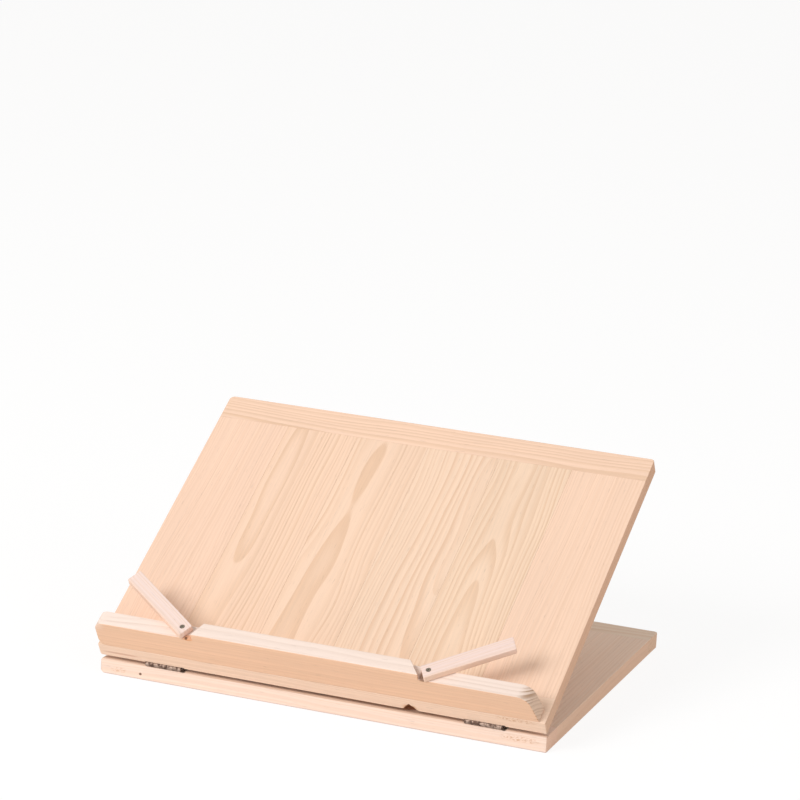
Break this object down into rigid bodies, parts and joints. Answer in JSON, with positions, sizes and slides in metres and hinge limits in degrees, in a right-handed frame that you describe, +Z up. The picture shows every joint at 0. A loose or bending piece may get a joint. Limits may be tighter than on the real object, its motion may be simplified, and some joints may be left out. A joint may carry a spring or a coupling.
{
  "type": "folding book stand",
  "caption": "Folding pine book stand: a base panel, a tilting book rest hinged at its front edge, a ledge with turning page clips, and a prop flap that rises from a window in the base.",
  "frame": {"origin": "on the table, under the middle of the stand's whole depth and width at rest", "axes": "+X to the right along the front edge and the hinge axis, +Y from the front edge to the rear, +Z up"},
  "size_m": [0.312, 0.26, 0.145],
  "materials": {
    "pine_stave": "planed bare pine, grain front to back",
    "pine_cleat": "planed bare pine, grain left to right",
    "pine_ledge": "planed bare pine, grain left to right",
    "pine_clip": "planed bare pine, grain along the clip",
    "pine_flap": "planed bare pine, grain front to back",
    "hinge_steel": "pressed sheet steel, dull",
    "zinc_screw": "zinc plated",
    "dark_screw": "blackened"
  },
  "bodies": {
    "base": {"base_front_cleat": "pine_cleat", "base_rear_cleat": "pine_cleat", "base_stave_1": "pine_stave", "base_stave_2": "pine_stave", "base_stave_3": "pine_stave", "base_stave_4": "pine_stave", "base_stave_5": "pine_stave", "base_stave_6": "pine_stave", "left_front_hinge_base_leaf": "hinge_steel", "left_front_hinge_pin": "hinge_steel", "left_front_hinge_base_screw_a": "zinc_screw", "left_front_hinge_base_screw_b": "zinc_screw", "right_front_hinge_base_leaf": "hinge_steel", "right_front_hinge_pin": "hinge_steel", "right_front_hinge_base_screw_a": "zinc_screw", "right_front_hinge_base_screw_b": "zinc_screw", "left_prop_hinge_base_leaf": "hinge_steel", "left_prop_hinge_pin": "hinge_steel", "left_prop_hinge_base_screw_a": "zinc_screw", "left_prop_hinge_base_screw_b": "zinc_screw", "right_prop_hinge_base_leaf": "hinge_steel", "right_prop_hinge_pin": "hinge_steel", "right_prop_hinge_base_screw_a": "zinc_screw", "right_prop_hinge_base_screw_b": "zinc_screw"},
    "book_rest": {"rest_front_cleat": "pine_cleat", "rest_rear_cleat": "pine_cleat", "rest_stave_1": "pine_stave", "rest_stave_2": "pine_stave", "rest_stave_3": "pine_stave", "rest_stave_4": "pine_stave", "rest_stave_5": "pine_stave", "rest_stave_6": "pine_stave", "ledge": "pine_ledge", "ledge_screw_left": "zinc_screw", "ledge_screw_middle": "zinc_screw", "ledge_screw_right": "zinc_screw", "left_clip_screw": "dark_screw", "right_clip_screw": "dark_screw", "left_front_hinge_rest_leaf": "hinge_steel", "left_front_hinge_rest_screw_a": "zinc_screw", "left_front_hinge_rest_screw_b": "zinc_screw", "right_front_hinge_rest_leaf": "hinge_steel", "right_front_hinge_rest_screw_a": "zinc_screw", "right_front_hinge_rest_screw_b": "zinc_screw"},
    "prop": {"prop_flap": "pine_flap", "left_prop_hinge_flap_leaf": "hinge_steel", "left_prop_hinge_flap_screw_a": "zinc_screw", "left_prop_hinge_flap_screw_b": "zinc_screw", "right_prop_hinge_flap_leaf": "hinge_steel", "right_prop_hinge_flap_screw_a": "zinc_screw", "right_prop_hinge_flap_screw_b": "zinc_screw"},
    "left_clip": {"left_page_clip": "pine_clip"},
    "right_clip": {"right_page_clip": "pine_clip"}
  },
  "joints": [
    {"name": "book_rest_tilt", "type": "hinge", "parent": "base", "child": "book_rest", "pos_m": [0, -0.11046, 0.01195], "axis": [1, 0, 0], "range_deg": [-30.9, 29.1]},
    {"name": "prop_swing", "type": "hinge", "parent": "base", "child": "prop", "pos_m": [0, -0.00246, 0.0112], "axis": [1, 0, 0], "range_deg": [-64.9, 61.2]},
    {"name": "left_clip_turn", "type": "hinge", "parent": "book_rest", "child": "left_clip", "pos_m": [-0.092, -0.12229, 0.04292], "axis": [0, 0.5135, -0.8581], "range_deg": [-36, 94]},
    {"name": "right_clip_turn", "type": "hinge", "parent": "book_rest", "child": "right_clip", "pos_m": [0.079, -0.12229, 0.04292], "axis": [0, -0.5135, 0.8581], "range_deg": [-36, 94]}
  ],
  "couplings": [
    {"joint": "prop_swing", "follows": "book_rest_tilt", "ratio": 2.1}
  ]
}
